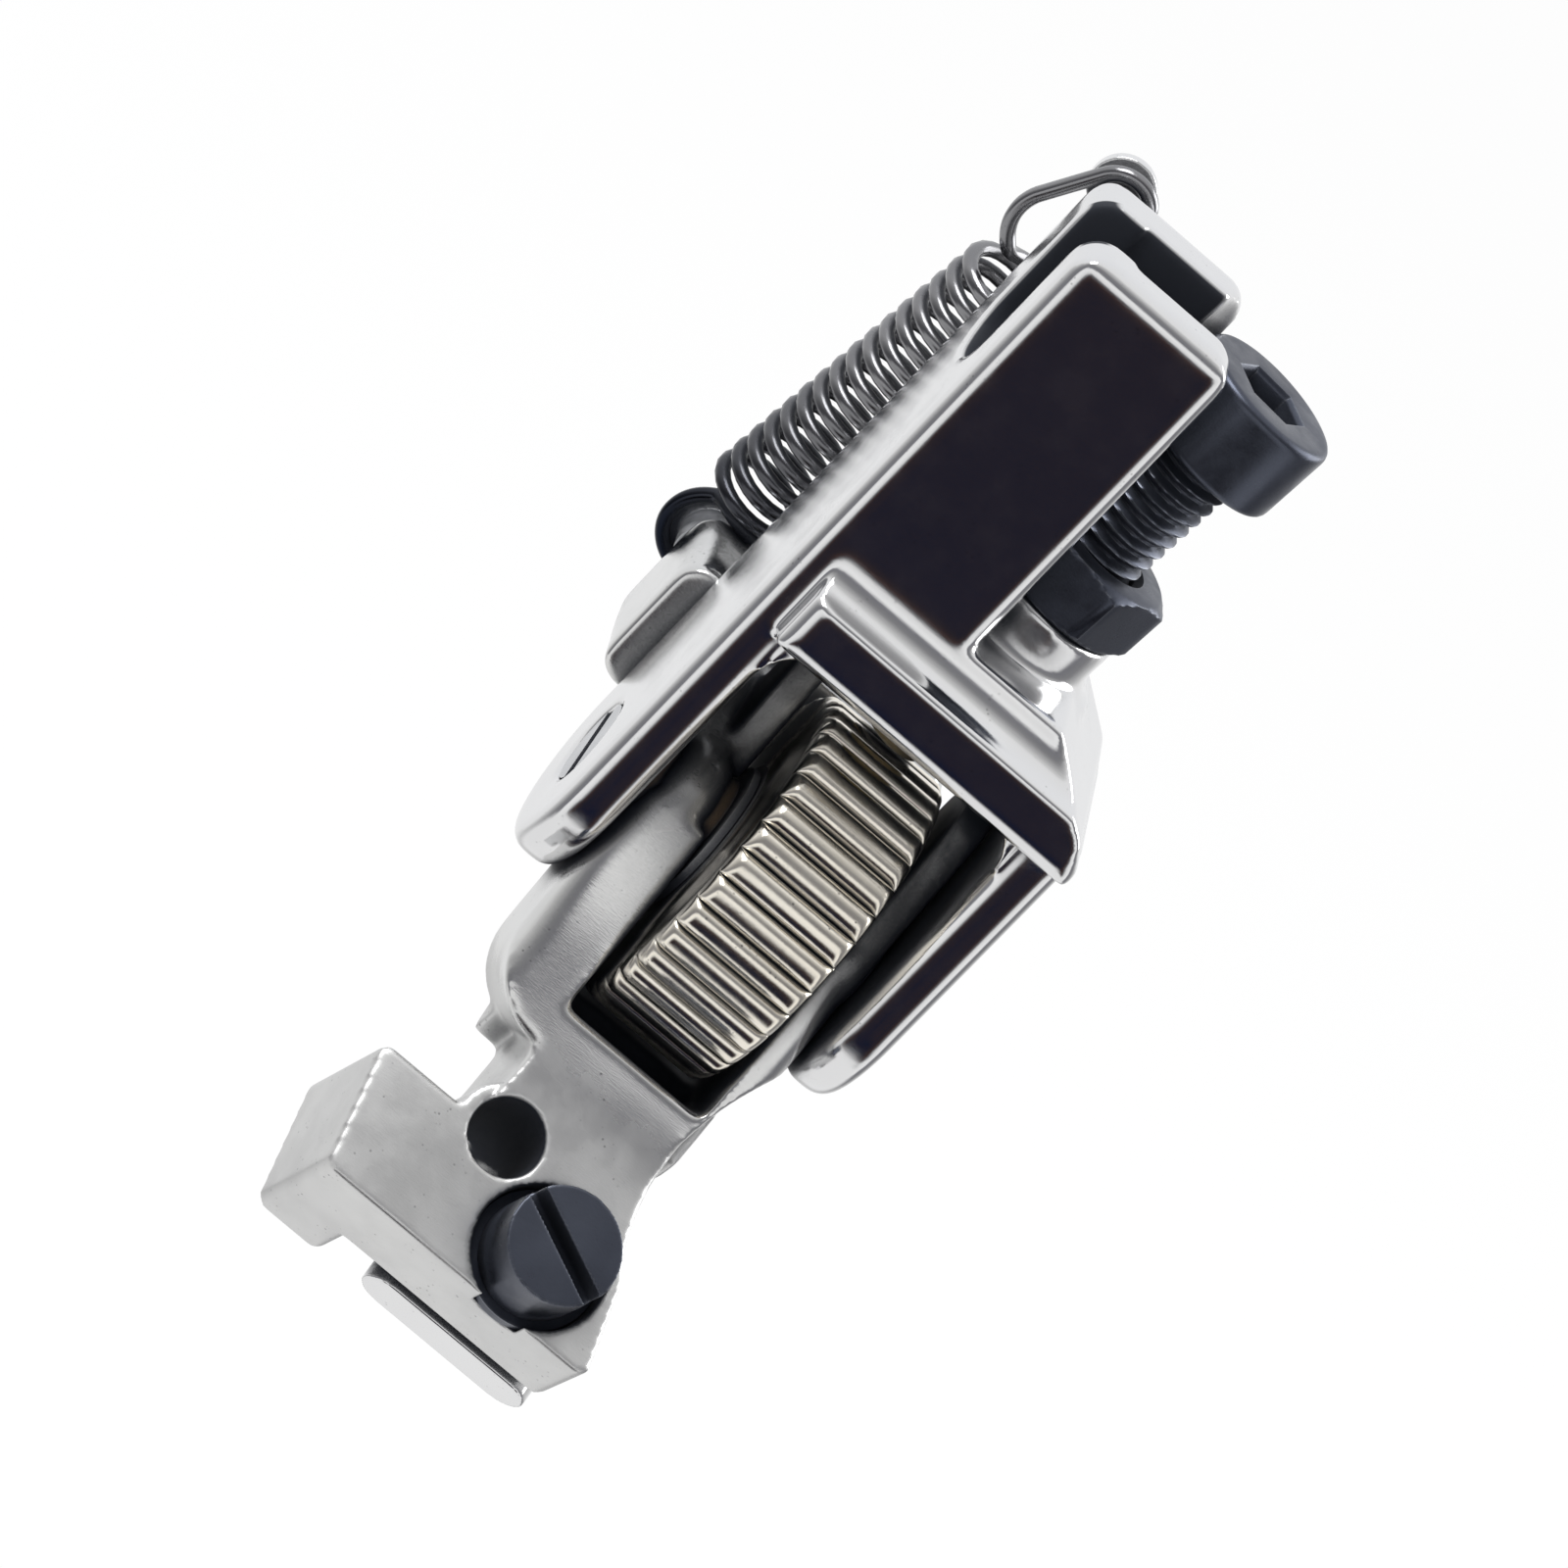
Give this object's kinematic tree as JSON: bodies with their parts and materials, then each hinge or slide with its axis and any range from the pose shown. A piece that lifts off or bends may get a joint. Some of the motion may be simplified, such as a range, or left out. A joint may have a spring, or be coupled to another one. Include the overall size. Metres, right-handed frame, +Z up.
{
  "type": "sewing machine presser foot",
  "caption": "Sewing machine roller presser foot with a clamp yoke, fluted feed wheel, sprung fork lever and toe, and an adjusting screw with lock nut.",
  "frame": {"origin": "on the floor of the shank's channel, at the height of the clamp screw's axis, in the channel's middle", "axes": "+Z up the shank, +X along the wheel's axle to the side with the adjusting screw, -Y to the front where the toe points"},
  "size_m": [0.02, 0.0319, 0.0552],
  "materials": {
    "polished_steel": "polished",
    "satin_steel": "satin",
    "nickel_roller": "polished",
    "axle_steel": "ground",
    "black_oxide": "black oxide, satin",
    "spring_steel": "drawn wire",
    "bearing_steel": "ground",
    "bronze": "machined",
    "brass_plug": "machined"
  },
  "bodies": {
    "yoke": {"shank_yoke": "polished_steel", "axle_screw": "axle_steel", "spring_anchor": "polished_steel", "thrust_washer_left": "bearing_steel", "thrust_washer_right": "bearing_steel", "tension_spring": "spring_steel"},
    "roller": {"feed_wheel": "nickel_roller", "clutch_shell": "bearing_steel"},
    "needle_cage": {"clutch_cage": "bronze", "clutch_needles": "bearing_steel"},
    "lever": {"fork_lever": "satin_steel", "lever_bush_left": "bronze", "lever_bush_right": "bronze", "sole_plate": "satin_steel", "toe_screw": "black_oxide", "toe_washer": "axle_steel", "spring_post": "axle_steel"},
    "adjuster": {"adjusting_screw": "black_oxide", "drag_plug": "brass_plug"},
    "nut": {"lock_nut": "black_oxide"}
  },
  "joints": [
    {"name": "roller_spin", "type": "hinge", "parent": "yoke", "child": "roller", "pos_m": [0.0072, 0.0002, -0.0262], "axis": [1, 0, 0], "continuous": true},
    {"name": "cage_spin", "type": "hinge", "parent": "yoke", "child": "needle_cage", "pos_m": [0.0072, 0.0002, -0.0262], "axis": [1, 0, 0], "continuous": true},
    {"name": "lever_tilt", "type": "hinge", "parent": "yoke", "child": "lever", "pos_m": [0.0072, 0.0002, -0.0262], "axis": [-1, 0, 0], "range_deg": [0, 18], "stiffness_Nm_per_rad": 0.2, "springref_deg": -14.32, "deforming": ["tension_spring"]},
    {"name": "screw_travel", "type": "slide", "parent": "yoke", "child": "adjuster", "axis": [0.0698, 0, 0.9976], "range_m": [0, 0.002]},
    {"name": "nut_travel", "type": "slide", "parent": "yoke", "child": "nut", "axis": [0.0698, 0, 0.9976], "range_m": [0, 0.003]}
  ],
  "couplings": [
    {"joint": "cage_spin", "follows": "roller_spin", "ratio": 0.56}
  ]
}
